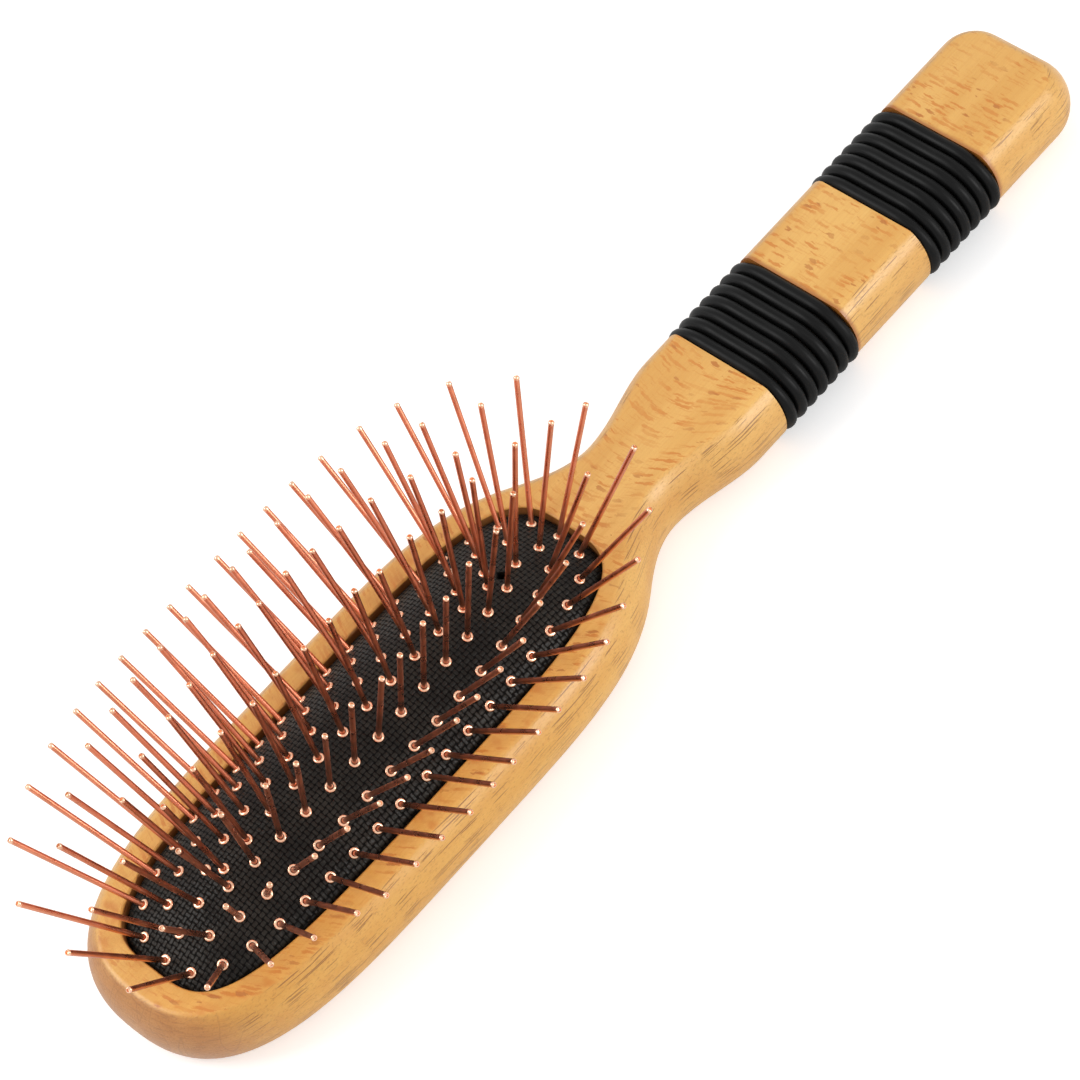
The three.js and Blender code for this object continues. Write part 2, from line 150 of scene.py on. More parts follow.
class BrushPinSettings(bpy.types.PropertyGroup):
    """Sizes and lean of the pins."""

    length: length("Length", "From the rubber to the tip", 27.6 * MM)
    radius: length("Radius", "Radius of the wire", 0.5 * MM)
    tip_radius: length("Tip radius", "Radius of the polished tip", 0.54 * MM)
    collar_radius: length("Collar radius", "Radius of the collar on the rubber", 1.04 * MM)
    collar_height: length("Collar height", "Height of the collar above the rubber", 0.34 * MM)
    shank: length("Shank", "Length of the pin inside the cushion", 1.3 * MM)
    sides: faces("Sides", "Faces around a pin", 10)
    collar_sides: faces("Collar sides", "Faces around a collar", 14)
    side_lean: angle("Side lean", "Lean at the long sides", math.radians(48.3))
    end_lean: angle("End lean", "Lean at the two ends", math.radians(29.5))
    end_lean_power: plain("End lean power", "How late the ends lean out", 2.75)
    end_fade: plain("End fade", "Share of the side lean lost at the ends", 0.08)
    stray: angle("Stray", "How far a pin strays from its lean", math.radians(0.8))


class BrushRingSettings(bpy.types.PropertyGroup):
    """Sizes of the rubber rings."""

    cord_radius: length("Cord radius", "Radius of the round cord", 1.275 * MM)
    proud: length("Proud", "How far a ring stands above the wood", 0.9 * MM)
    bend: length("Bend", "How far the turn round the edge reaches in", 8.5 * MM)
    pitch: length("Pitch", "From ring to ring", 2.85 * MM)
    count: number("Count", "Rings in a band", 7)
    first_band: length("First band", "Middle of the band by the neck", 103.6 * MM)
    second_band: length("Second band", "Middle of the band by the end", 144 * MM)


class BrushFinishSettings(bpy.types.PropertyGroup):
    """Colours of the finishes."""

    beech: colour("Beech", "Lacquered beech", (0.70, 0.36, 0.075))
    beech_light: colour("Beech, light", "Its paler zones", (0.80, 0.46, 0.12))
    # Partly painted shade: the head is darker, partly as darker wood and partly for the light that falls
    # off towards the head.
    beech_head_tint_and_shade: colour("Beech, head", "How much darker the head is", (1.0, 0.97, 0.82))
    # Painted shade: the rounded sides are darker than the flat faces, as if less lit.
    beech_side_shade: colour("Beech, sides", "How much darker the sides are", (0.93, 0.92, 0.84))
    beech_end: colour("End grain tint", "How much darker the end of the head is", (0.70, 0.57, 0.68))
    fleck: colour("Ray flecks", "Strokes across the face of the wood", (0.59, 0.185, 0.012))
    block: colour("Short flecks", "Darker blocks among the strokes", (0.47, 0.15, 0.014))
    grain: colour("Grain", "Fine dark grain on the sides", (0.25, 0.085, 0.014))
    # Painted shade: burnt orange at the end wall of each seat of rings and just past it, where the rings
    # shade the wood.
    band_end_shade: colour("Stain", "Wood at the end of a band of rings", (0.36, 0.11, 0.012))
    recess: colour("Recess wall", "Bare wood in the recess", (0.34, 0.15, 0.04))
    # Painted shade: the wood under the rings is near black, as the gaps between the rings are in shade.
    seat: colour("Ring seat", "Wood under the rings", (0.05, 0.022, 0.008))
    rubber: colour("Cushion rubber", "Embossed black rubber", (0.0085, 0.0074, 0.0058))
    # Partly painted reflection: the wire's copper is darker and redder, standing in for reflections of the
    # neighbouring pins and the wood.
    copper: colour("Copper", "Plated wire of the pins", (0.67, 0.265, 0.155))
    # Partly painted highlight: the collars and tips are paler, partly for their polish and partly standing
    # in for the highlights of the lamps.
    polished: colour("Polished copper", "Collars and tips", (0.80, 0.50, 0.34))
    ring: colour("Grip rubber", "Matt black rubber", (0.0032, 0.0032, 0.0032))


class BrushStageSettings(bpy.types.PropertyGroup):
    """The camera, the lamps and the floor."""

    camera_at: FloatVectorProperty(
        name="Camera", description="Where the camera stands", unit="LENGTH", size=3,
        default=(-159.9 * MM, -329.4 * MM, 574.95 * MM),
    )
    lens: plain("Lens", "Focal length", 132.75)
    room: plain("Room", "Strength of the light from all round", 0.62)
    floor: colour("Floor", "Colour of the floor", (0.93, 0.93, 0.93))


GROUPS = {
    "pin_brush_body": BrushBodySettings,
    "pin_brush_cushion": BrushCushionSettings,
    "pin_brush_pins": BrushPinSettings,
    "pin_brush_rings": BrushRingSettings,
    "pin_brush_finish": BrushFinishSettings,
    "pin_brush_stage": BrushStageSettings,
}

# The rows of pins: name, count, and for the rings their insets from the edge of the recess and squareness.
PIN_ROWS = (
    ("outer", 40, 2.4 * MM, 2.7 * MM, 3.23),
    ("second", 34, 6.9 * MM, 6.6 * MM, 2.71),
    ("third", 28, 12.4 * MM, 11.5 * MM, 2.14),
)
CENTRE_ROW = ("centre", 12, 19.1 * MM)


# How finely the pieces are divided.
NOSE_STEPS = 40
SIDE_STEPS = (28, 24, 10)
CORNER_STEPS = 12
EDGE_SEGMENTS = 12
CREASE_SEGMENTS = 3
RECESS_POINTS = 160
RIM_STEPS = 4
CURVE_STEPS = 4000
CUSHION_GRID = (110, 60)
VENT_SIDES = 28
RING_TURN_STEPS = 24
RING_FACE_STEPS = 6
CORD_RESOLUTION = 6

# Edges that turn by more than this stay sharp.
WOOD_SHARP = math.radians(35)
SHARP = math.radians(50)
# How upright the normal of a level face is, and the play in finding faces by their place.
LEVEL = 0.9999
PLAY = 0.02 * MM
RECESS_PLAY = 0.05 * MM
# From this share of the way out, this exponent draws the squares of the cushion together.
GRID_TURN = 0.5
GRID_POWER = 1.7
# How far below the end of a pin its wire and its polish end.
WIRE_END = 0.7 * MM
POLISH_END = 0.6 * MM
# The tip: shares of its radius, and depths below the end of the pin in mm, down into a dimple.
TIP_PROFILE = ((1, 0.45), (1, 0.25), (0.84, 0.05), (0.6, 0), (0.4, 0.35))
# A collar: shares of its radius and height. Its hole: shares of the wire's radius and of its height.
COLLAR_PROFILE = ((1, -0.5), (1, 0.15), (0.95, 0.6), (0.82, 0.92), (0.68, 1), (0.57, 1), (0.52, 0.7))
COLLAR_HOLE = (0.96, -0.2)


# ---------------- modelling by hand


def deselect():
    """Nothing is selected and no piece is being edited."""
    if bpy.context.object and bpy.context.object.mode != "OBJECT":
        finish_edit()
    bpy.ops.object.select_all(action="DESELECT")


def make_active(piece):
    """Only piece is selected."""
    deselect()
    piece.select_set(True)
    bpy.context.view_layer.objects.active = piece


def select_mesh():
    """Selects all of the edited mesh."""
    bpy.ops.mesh.select_all(action="SELECT")


def edit(piece, kind="FACE"):
    """Opens a piece for editing, with all of it selected."""
    make_active(piece)
    bpy.ops.object.mode_set(mode="EDIT")
    bpy.ops.mesh.select_mode(type=kind)
    select_mesh()


def finish_edit():
    """Leaves edit mode."""
    bpy.ops.object.mode_set(mode="OBJECT")


def pick(kind, wanted):
    """Selects the faces or edges of the edited mesh for which wanted is true."""
    mesh = bpy.context.object.data
    bpy.ops.mesh.select_mode(type=kind)
    bpy.ops.mesh.select_all(action="DESELECT")
    bm = bmesh.from_edit_mesh(mesh)
    for part in bm.faces if kind == "FACE" else bm.edges:
        if wanted(part):
            part.select_set(True)
    bm.select_flush_mode()
    bmesh.update_edit_mesh(mesh)


def pull(height):
    """Extrudes what is selected upwards."""
    bpy.ops.mesh.extrude_region_move(TRANSFORM_OT_translate={"value": (0, 0, height)})


def widen(along, across, z):
    """Scales what is selected about the Z axis, along and across the brush."""
    bpy.ops.transform.resize(value=(along, across, 1), center_override=(0, 0, z))


def split(place, direction, **settings):
    """Cuts the edited mesh through along a plane."""
    select_mesh()
    bpy.ops.mesh.bisect(plane_co=place, plane_no=direction, **settings)


def face_out():
    """Turns all faces of the edited mesh outwards."""
    select_mesh()
    bpy.ops.mesh.normals_make_consistent(inside=False)


def dress(piece, *materials):
    """Gives a piece its materials."""
    for material in materials:
        piece.data.materials.append(material)


def use_material(index, wanted):
    """Gives the wanted faces of the edited piece one of its materials."""
    pick("FACE", wanted)
    bpy.context.object.active_material_index = index
    bpy.ops.object.material_slot_assign()


def settle():
    """Moves the place of the active piece into its mesh."""
    bpy.ops.object.transform_apply(location=True, rotation=True, scale=True)


def disc(name, sides, radius, z):
    """A filled circle round the Z axis."""
    deselect()
    bpy.ops.mesh.primitive_circle_add(vertices=sides, radius=radius, fill_type="NGON", location=(0, 0, z))
    piece = bpy.context.object
    piece.name = name
    settle()
    return piece


def block(name, outline, z, height):
    """A block on an outline, from z up, left open for editing."""
    piece = disc(name, len(outline), 0.02, z)
    for vertex, (x, y) in zip(piece.data.vertices, outline):
        vertex.co.x, vertex.co.y = x, y
    edit(piece)
    pull(height)
    face_out()
    return piece


def copied(pattern):
    """A copy of a piece, with its own mesh."""
    make_active(pattern)
    bpy.ops.object.duplicate()
    return bpy.context.object


def remove(*pieces):
    """Takes away pieces that have done their work."""
    for piece in pieces:
        make_active(piece)
        bpy.ops.object.delete()


def modify(piece, kind, **settings):
    """Adds a modifier to a piece and applies it."""
    make_active(piece)
    bpy.ops.object.modifier_add(type=kind)
    modifier = piece.modifiers[-1]
    for key, value in settings.items():
        setattr(modifier, key, value)
    bpy.ops.object.modifier_apply(modifier=modifier.name)


def cut(piece, tool):
    """Takes the shape of a tool out of a piece, and the tool away."""
    modify(piece, "BOOLEAN", operation="DIFFERENCE", solver="EXACT", object=tool)
    remove(tool)


def smooth(piece, sharp):
    """Shades a piece smooth, apart from its sharp edges."""
    edit(piece, "EDGE")
    pick("EDGE", lambda edge: len(edge.link_faces) == 2 and edge.calc_face_angle() > sharp)
    bpy.ops.mesh.mark_sharp()
    finish_edit()
    bpy.ops.object.shade_smooth()


def give(piece, body, slot, *solids):
    """Says which body a piece rides on and hides the solids that it stands for. Its slot, the finish, is
    not used.
    """
    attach(piece, body)
    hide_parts(*solids)


# ---------------- outlines


def half_width(body, x):
    """Half the width of the body at x, from the widest place of the head to the end."""
    if x < body.shoulder:
        return body.head_half_width - body.shoulder_fall * (x / body.shoulder) ** body.shoulder_sharpness
    slope = (body.end_half_width - body.grip_half_width) / (body.end - body.grip)
    steep = -body.shoulder_fall * body.shoulder_sharpness / body.shoulder
    knots = (
        (body.shoulder, body.head_half_width - body.shoulder_fall, steep),
        (body.neck, body.neck_half_width, 0),
        (body.grip, body.grip_half_width, slope),
    )
    for (x0, y0, s0), (x1, y1, s1) in zip(knots, knots[1:]):
        if x < x1:
            span = x1 - x0
            t = (x - x0) / span
            rise = y0 + (y1 - y0) * (3 * t**2 - 2 * t**3)
            return rise + span * (s0 * (t - 2 * t**2 + t**3) + s1 * (t**3 - t**2))
    return body.grip_half_width + slope * (x - body.grip)


def body_outline(body):
    """The outline of the body, counterclockwise from the nose."""
    side = []
    for i in range(1, NOSE_STEPS):
        turn = i / NOSE_STEPS * math.pi / 2
        x = -body.nose * math.cos(turn) ** (2 / body.nose_flatness)
        side.append((x, body.head_half_width * math.sin(turn) ** (2 / body.nose_fullness)))
    stops = (0, body.shoulder, body.grip, body.end - body.end_corner)
    for start, stop, steps in zip(stops, stops[1:], SIDE_STEPS):
        for i in range(steps):
            x = start + (stop - start) * i / steps
            side.append((x, half_width(body, x)))
    for i in range(CORNER_STEPS + 1):
        turn = (1 - i / CORNER_STEPS) * math.pi / 2
        x = body.end - body.end_corner + body.end_corner * math.cos(turn)
        side.append((x, body.end_half_width - body.end_corner + body.end_corner * math.sin(turn)))
    far = [(x, -y) for x, y in side]
    return [(-body.nose, 0)] + far + side[::-1]


def superellipse(turn, half_length, half_width, squareness):
    """A point on a superellipse."""
    power = 2 / squareness
    x = math.copysign(abs(math.cos(turn)) ** power, math.cos(turn)) * half_length
    y = math.copysign(abs(math.sin(turn)) ** power, math.sin(turn)) * half_width
    return x, y


def way_out(u, v, squareness):
    """How far out a point is: 0 in the middle and 1 on a superellipse with half axes of 1."""
    return (u**squareness + v**squareness) ** (1 / squareness)


def even_points(count, *shape):
    """Points that share out the length of a superellipse evenly, the first one at its +X end."""
    curve = [superellipse(2 * math.pi * i / CURVE_STEPS, *shape) for i in range(CURVE_STEPS + 1)]
    run = [0.0]
    for before, after in zip(curve, curve[1:]):
        run.append(run[-1] + math.dist(before, after))
    points = []
    j = 0
    for i in range(count):
        while run[j] < run[-1] * i / count:
            j += 1
        points.append(curve[j])
    return points


def cushion_size(cushion):
    """Half the length and half the width of the rubber."""
    return cushion.half_length - cushion.clearance, cushion.half_width - cushion.clearance


def foot_height(body, cushion):
    """Height of the edge of the dome above the back of the brush."""
    return body.thickness - cushion.ledge - cushion.clearance


def dome_height(body, cushion, x, y):
    """Height of the cushion above the back of the brush."""
    long, wide = cushion_size(cushion)
    u, v = abs(x) / long, abs(y) / wide
    reach = way_out(u, v, cushion.squareness)
    foot = foot_height(body, cushion)
    across = 1 - cushion.side_fall * v**2
    along = 1 - cushion.end_fall * u**cushion.end_power
    edge = math.sqrt(max(0, 1 - reach**cushion.edge_power))
    return foot + (cushion.crown - foot) * across * along * edge


# ---------------- materials

# Where the looks of the wood change, in mm along the brush.
NECK_START = (48, 62)
NECK_STOP = (84, 98)
ARCS_STOP = (40, 62)
CLOUDS_STOP = (30, 62)
# Where the darker head, partly painted shade, fades out.
HEAD_TINT_AND_SHADE_STOP = (10, 75)
END_GRAIN_STOP = (-45, -35)
# The flecks bend by the square of their distance from this line, in mm beside the centre line.
ARC_MIDDLE = 3
HEAD_BEND = 0.014
NECK_BEND = 0.033
# How far they wander along and across the brush, in mm.
RAGGED = (1, 2)
# Dashes in the wood: their cells in mm, the reach of the thickest and the share of empty cells.
STROKES = ((0.95, 5.2, 1), 0.42, 0.1, "CHEBYCHEV")
HAIRS = ((0.42, 4.2, 1), 0.45, 0.1)
NECK_ARCS = ((1.9, 17, 1), 0.24, 0.2)
BLOCKS = ((1.5, 3.3, 1), 0.34, 0.72)
FINE_LINES = ((8, 0.36, 1), 0.34, 0.45)
BOLD_LINES = ((30, 0.5, 1), 0.22, 0.3)
# Depths of relief.
BEECH_RELIEF = 0.09 * MM
WEAVE_RELIEF = 0.22 * MM
RING_RELIEF = 0.03 * MM


def fill(tree, target, sockets):
    """Fills the inputs of a node or links them to other nodes."""
    for key, value in sockets.items():
        if isinstance(value, bpy.types.NodeSocket):
            tree.links.new(value, target.inputs[key])
        else:
            target.inputs[key].default_value = value
    return target


def node(tree, kind, sockets, **settings):
    """Adds a shader node of a kind, sets its options and fills its inputs."""
    new = tree.nodes.new("ShaderNode" + kind)
    for key, value in settings.items():
        setattr(new, key, value)
    return fill(tree, new, sockets)


def calc(tree, operation, a, b=0, c=0):
    """A sum of up to three numbers."""
    return node(tree, "Math", {0: a, 1: b, 2: c}, operation=operation).outputs[0]


def product(tree, first, *others):
    """The product of all the values."""
    for other in others:
        first = calc(tree, "MULTIPLY", first, other)
    return first


def largest(tree, first, *others):
    """The largest of the values."""
    for other in others:
        first = calc(tree, "MAXIMUM", first, other)
    return first


def ramp(tree, value, low, high, start=0, stop=1):
    """A smooth step from start to stop as value goes from low to high."""
    sockets = {"Value": value, "From Min": low, "From Max": high, "To Min": start, "To Max": stop}
    return node(tree, "MapRange", sockets, interpolation_type="SMOOTHSTEP").outputs[0]


def parts(tree, vector):
    """The three parts of a vector."""
    return node(tree, "SeparateXYZ", {0: vector}).outputs


def stretched(tree, place, scale):
    """The inputs of a pattern with its own scale along each axis."""
    place = node(tree, "VectorMath", {0: place, 1: scale}, operation="MULTIPLY").outputs[0]
    return {"Vector": place, "Scale": 1}


def noise(tree, place, scale, detail, roughness=0.5):
    """A noise pattern. Its scale is in waves to the mm."""
    sockets = {**stretched(tree, place, scale), "Detail": detail, "Roughness": roughness}
    return node(tree, "TexNoise", sockets).outputs["Fac"]


def dashes(tree, place, size, thickest, empty, distance="EUCLIDEAN"):
    """Separate dashes, one in a cell, with a share of the cells empty: 1 in a dash and 0 between them."""
    sockets = stretched(tree, place, tuple(1 / value for value in size))
    cell = node(tree, "TexVoronoi", sockets, voronoi_dimensions="2D", distance=distance).outputs
    chance = node(tree, "SeparateColor", {0: cell["Color"]}).outputs[0]
    reach = ramp(tree, chance, empty, 1, 0, thickest)
    return ramp(tree, calc(tree, "SUBTRACT", reach, cell["Distance"]), 0, 0.3 * thickest)


def bump(tree, height, strength, relief):
    """A surface that stands up by its relief where height is 1."""
    sockets = {"Strength": strength, "Distance": relief, "Height": height}
    return node(tree, "Bump", sockets).outputs[0]


def rgb(value, factor=1):
    """A colour with its alpha, made paler or darker by a factor."""
    return (*(min(1, factor * part) for part in value), 1)


def mix(tree, factor, a, b, blend="MIX"):
    """One colour over another."""
    sockets = {0: factor, 6: a, 7: b}
    return node(tree, "Mix", sockets, data_type="RGBA", blend_type=blend).outputs[2]


def coat(tree, tone, *coats):
    """Lays coats over a tone. Each has its share, its colour and, if not plain, how it is blended."""
    for share, value, *blend in coats:
        tone = mix(tree, share, tone, rgb(value), *blend)
    return tone


def empty_tree(owner):
    """The node tree of a material or of the world, with nothing in it."""
    owner.use_nodes = True
    owner.node_tree.nodes.clear()
    return owner.node_tree


def new_material(name):
    """A material with its shader, its coordinates and its place in millimetres."""
    material = bpy.data.materials.new(name)
    tree = empty_tree(material)
    shader = node(tree, "BsdfPrincipled", {})
    node(tree, "OutputMaterial", {"Surface": shader.outputs[0]})
    coordinates = node(tree, "TexCoord", {}).outputs
    sockets = {0: coordinates["Object"], "Scale": 1 / MM}
    place = node(tree, "VectorMath", sockets, operation="SCALE").outputs[0]
    return material, tree, shader, coordinates, place


def beech_flecks(tree, place, x, y):
    """Ray flecks and darker blocks, in arcs across the head and the neck and straight across the handle."""
    neck = product(tree, ramp(tree, x, *NECK_START), ramp(tree, x, *NECK_STOP, 1, 0))
    bend = largest(tree, product(tree, neck, NECK_BEND), ramp(tree, x, *ARCS_STOP, HEAD_BEND, 0))
    off_centre = calc(tree, "SUBTRACT", y, ARC_MIDDLE)
    bent_x = calc(tree, "SUBTRACT", x, product(tree, off_centre, off_centre, bend))
    ragged_x = calc(tree, "MULTIPLY_ADD", noise(tree, place, (1.3, 0.8, 0.8), 3), RAGGED[0], bent_x)
    ragged_y = calc(tree, "MULTIPLY_ADD", noise(tree, place, (3.0, 0.6, 0.6), 2), RAGGED[1], y)
    bent = node(tree, "CombineXYZ", {0: ragged_x, 1: ragged_y}).outputs[0]
    strokes = product(tree, dashes(tree, bent, *STROKES), 0.9)
    hairs = product(tree, dashes(tree, bent, *HAIRS), 0.4)
    arcs = product(tree, dashes(tree, bent, *NECK_ARCS), neck, 0.9)
    clusters = ramp(tree, noise(tree, place, (0.09, 0.14, 0.14), 2), 0.35, 0.6, 0.3, 1)
    clouds = ramp(tree, noise(tree, place, (0.30, 0.22, 0.22), 2), 0.52, 0.72, 0, 0.7)
    clouds = product(tree, clouds, ramp(tree, x, *CLOUDS_STOP, 1, 0))
    flecks = largest(tree, product(tree, largest(tree, strokes, hairs, arcs), clusters), clouds)
    return flecks, product(tree, dashes(tree, bent, *BLOCKS), clusters)


def beech_lines(tree, place, x, y, z):
    """Thin dark lines that lie nearly level in the sides."""
    drift = product(tree, noise(tree, place, (0.03, 0.05, 0.05), 2), 3)
    layer = calc(tree, "MULTIPLY_ADD", calc(tree, "ABSOLUTE", y), -0.5, calc(tree, "ADD", z, drift))
    level = node(tree, "CombineXYZ", {0: x, 1: layer}).outputs[0]
    streaks = ramp(tree, noise(tree, place, (0.03, 0.35, 0.35), 2), 0.35, 0.6, 0.65, 1)
    fine = product(tree, dashes(tree, level, *FINE_LINES), streaks)
    return largest(tree, fine, dashes(tree, level, *BOLD_LINES))


def beech_end_grain(tree, place):
    """Level streaks and a few upright growth lines."""
    growth = calc(tree, "SUBTRACT", noise(tree, place, (0.06, 0.22, 0.05), 1), 0.5)
    growth = ramp(tree, calc(tree, "ABSOLUTE", growth), 0, 0.012, 0.4, 0)
    streaks = ramp(tree, noise(tree, place, (0.35, 0.35, 4.5), 3, 0.7), 0.45, 0.7, 0, 0.5)
    return largest(tree, growth, streaks)


def beech_material(finish, band_ends):
    """Satin lacquered beech: ray flecks on its faces, dark lines on its sides, end grain at the nose."""
    material, tree, shader, coordinates, place = new_material("lacquered_beech")
    x, y, z = parts(tree, place)
    normal = parts(tree, coordinates["Normal"])
    normal_x, normal_z = (calc(tree, "ABSOLUTE", normal[i]) for i in (0, 2))
    flat = ramp(tree, normal_z, 0.82, 0.985)
    side = calc(tree, "SUBTRACT", 1, flat)
    flecks, blocks = beech_flecks(tree, place, x, y)
    on_faces = calc(tree, "MULTIPLY_ADD", flat, 0.85, 0.05)
    lines = product(tree, beech_lines(tree, place, x, y, z), side, ramp(tree, normal_x, 0.3, 0.7, 1, 0))
    end_on = product(tree, ramp(tree, x, *END_GRAIN_STOP, 1, 0), side, ramp(tree, normal_x, 0.2, 0.7))
    zones = noise(tree, place, (0.016, 0.16, 0.16), 2)
    fibres = noise(tree, place, (0.10, 3.2, 3.2), 3, 0.65)
    pores = noise(tree, place, (1.3, 3.6, 3.6), 2, 0.7)
    pitted = product(tree, ramp(tree, pores, 0.5, 0.75, 0, 0.4), side)
    tone = coat(
        tree, rgb(finish.beech),
        (ramp(tree, zones, 0.3, 0.7), finish.beech_light),
        # Partly painted shade: the head is darker, partly as darker wood, partly for the light falling off
        # towards it.
        (ramp(tree, x, *HEAD_TINT_AND_SHADE_STOP, 1, 0), finish.beech_head_tint_and_shade, "MULTIPLY"),
        # Painted shade: the rounded sides are darkened.
        (side, finish.beech_side_shade, "MULTIPLY"),
        (ramp(tree, fibres, 0.3, 0.75, 0, 0.2), finish.fleck),
        (end_on, finish.beech_end, "MULTIPLY"),
        (product(tree, beech_end_grain(tree, place), end_on), finish.grain),
        (product(tree, flecks, on_faces), finish.fleck),
        (product(tree, blocks, on_faces), finish.block),
        (largest(tree, product(tree, lines, 0.8), pitted), finish.grain),
    )
    # Painted shade: the wood is darkened to burnt orange where a band of rings ends, on the end wall of its
    # seat and just past it, where the rings shade it.
    for end in band_ends:
        past = calc(tree, "SUBTRACT", x, end / MM)
        band_end_shade = product(tree, ramp(tree, past, 0.1, 1.1, 0.9, 0), ramp(tree, past, -1, -0.5))
        tone = coat(tree, tone, (band_end_shade, finish.band_end_shade))
    rough = calc(tree, "MULTIPLY_ADD", pores, 1.2, product(tree, fibres, 0.5))
    fill(tree, shader, {
        "Base Color": tone,
        "Roughness": ramp(tree, pores, 0.3, 0.7, 0.40, 0.54),
        "Normal": bump(tree, calc(tree, "SUBTRACT", rough, lines), 0.8, BEECH_RELIEF),
        "Coat Weight": 0.5,
        "Coat Roughness": 0.3,
    })
    return material


def darker_wood_material(name, pale, dark):
    """Wood in two tones mixed by its fibres: darker wood in the recess, and near black in the seats of the
    rings as painted shade.
    """
    material, tree, shader, _, place = new_material(name)
    fibres = noise(tree, place, (0.2, 2.2, 2.2), 3, 0.6)
    fill(tree, shader, {
        "Base Color": mix(tree, ramp(tree, fibres, 0.3, 0.7, 0, 0.6), rgb(pale), rgb(dark)),
        "Roughness": ramp(tree, fibres, 0.3, 0.7, 0.55, 0.7),
    })
    return material


def cushion_material(finish, thread):
    """Black rubber with the emboss of a plain weave, square to the brush, and painted shade in its grooves.
    """
    material, tree, shader, _, place = new_material("embossed_rubber")
    axes = parts(tree, place)
    along, across = (calc(tree, "DIVIDE", axes[i], thread / MM) for i in (0, 1))
    cell = calc(tree, "ADD", calc(tree, "FLOOR", along), calc(tree, "FLOOR", across))

    def back(value):
        """The back of a thread: 0 at its edges and 1 along its middle."""
        off_middle = calc(tree, "SUBTRACT", calc(tree, "FRACT", value), 0.5)
        return ramp(tree, calc(tree, "ABSOLUTE", off_middle), 0.18, 0.48, 1, 0)

    backs = back(along), back(across)
    holes = product(tree, *(calc(tree, "SUBTRACT", 1, value) for value in backs), 0.6)
    over = calc(tree, "FLOORED_MODULO", cell, 2)
    upper = node(tree, "Mix", {0: over, 2: backs[0], 3: backs[1]}).outputs[0]
    weave = calc(tree, "SUBTRACT", calc(tree, "MULTIPLY_ADD", upper, 0.6, 0.4), holes)
    patches = noise(tree, place, (0.12, 0.12, 0.12), 2)
    grain = noise(tree, place, (1.3, 1.3, 1.3), 2)
    worn = ramp(tree, calc(tree, "ADD", patches, product(tree, grain, 0.7)), 0.62, 1.1)
    # Painted shade: the grooves and holes of the weave are near black, and the tops keep the rubber's
    # colour.
    groove_shade, dusty = rgb(finish.rubber, 0.04), rgb(finish.rubber, 2.8)
    top = mix(tree, worn, rgb(finish.rubber), dusty)
    height = calc(tree, "ADD", weave, product(tree, grain, 0.8))
    fill(tree, shader, {
        "Base Color": mix(tree, ramp(tree, weave, 0.3, 1), groove_shade, top),
        "Roughness": ramp(tree, weave, 0.3, 1, 0.85, 0.36),
        "Normal": bump(tree, height, 1, WEAVE_RELIEF),
        "Specular IOR Level": 0.16,
    })
    return material


def copper_material(name, tint, smoothest):
    """Copper plating, a little uneven."""
    material, tree, shader, _, place = new_material(name)
    patches = noise(tree, place, (0.3, 0.3, 0.3), 2)
    fill(tree, shader, {
        "Base Color": mix(tree, ramp(tree, patches, 0.3, 0.7), rgb(tint), rgb(tint, 1.18)),
        "Roughness": ramp(tree, patches, 0.3, 0.7, smoothest, smoothest + 0.08),
        "Metallic": 1,
    })
    return material


def ring_material(finish):
    """Matt black rubber, with fine lines round the cord."""
    material, tree, shader, _, place = new_material("grip_rubber")
    lines = noise(tree, place, (7.0, 0.25, 0.25), 2)
    patches = noise(tree, place, (0.2, 0.2, 0.2), 2)
    fill(tree, shader, {
        "Base Color": mix(tree, ramp(tree, lines, 0.4, 0.7), rgb(finish.ring), rgb(finish.ring, 2.0)),
        "Roughness": ramp(tree, patches, 0.3, 0.7, 0.36, 0.46),
        "Normal": bump(tree, lines, 0.25, RING_RELIEF),
        "Specular IOR Level": 0.13,
    })
    return material


def floor_material(tint):
    """A pale floor that looks white and still takes the shadow."""
    material = bpy.data.materials.new("pale_floor")
    tree = empty_tree(material)
    seen = node(tree, "LightPath", {}).outputs["Is Camera Ray"]
    matt = node(tree, "BsdfDiffuse", {"Color": rgb(tint)})
    glow = node(tree, "Emission", {"Strength": product(tree, seen, FLOOR_GLOW)})
    both = node(tree, "AddShader", {0: matt.outputs[0], 1: glow.outputs[0]})
    node(tree, "OutputMaterial", {"Surface": both.outputs[0]})
    return material


# ---------------- pieces


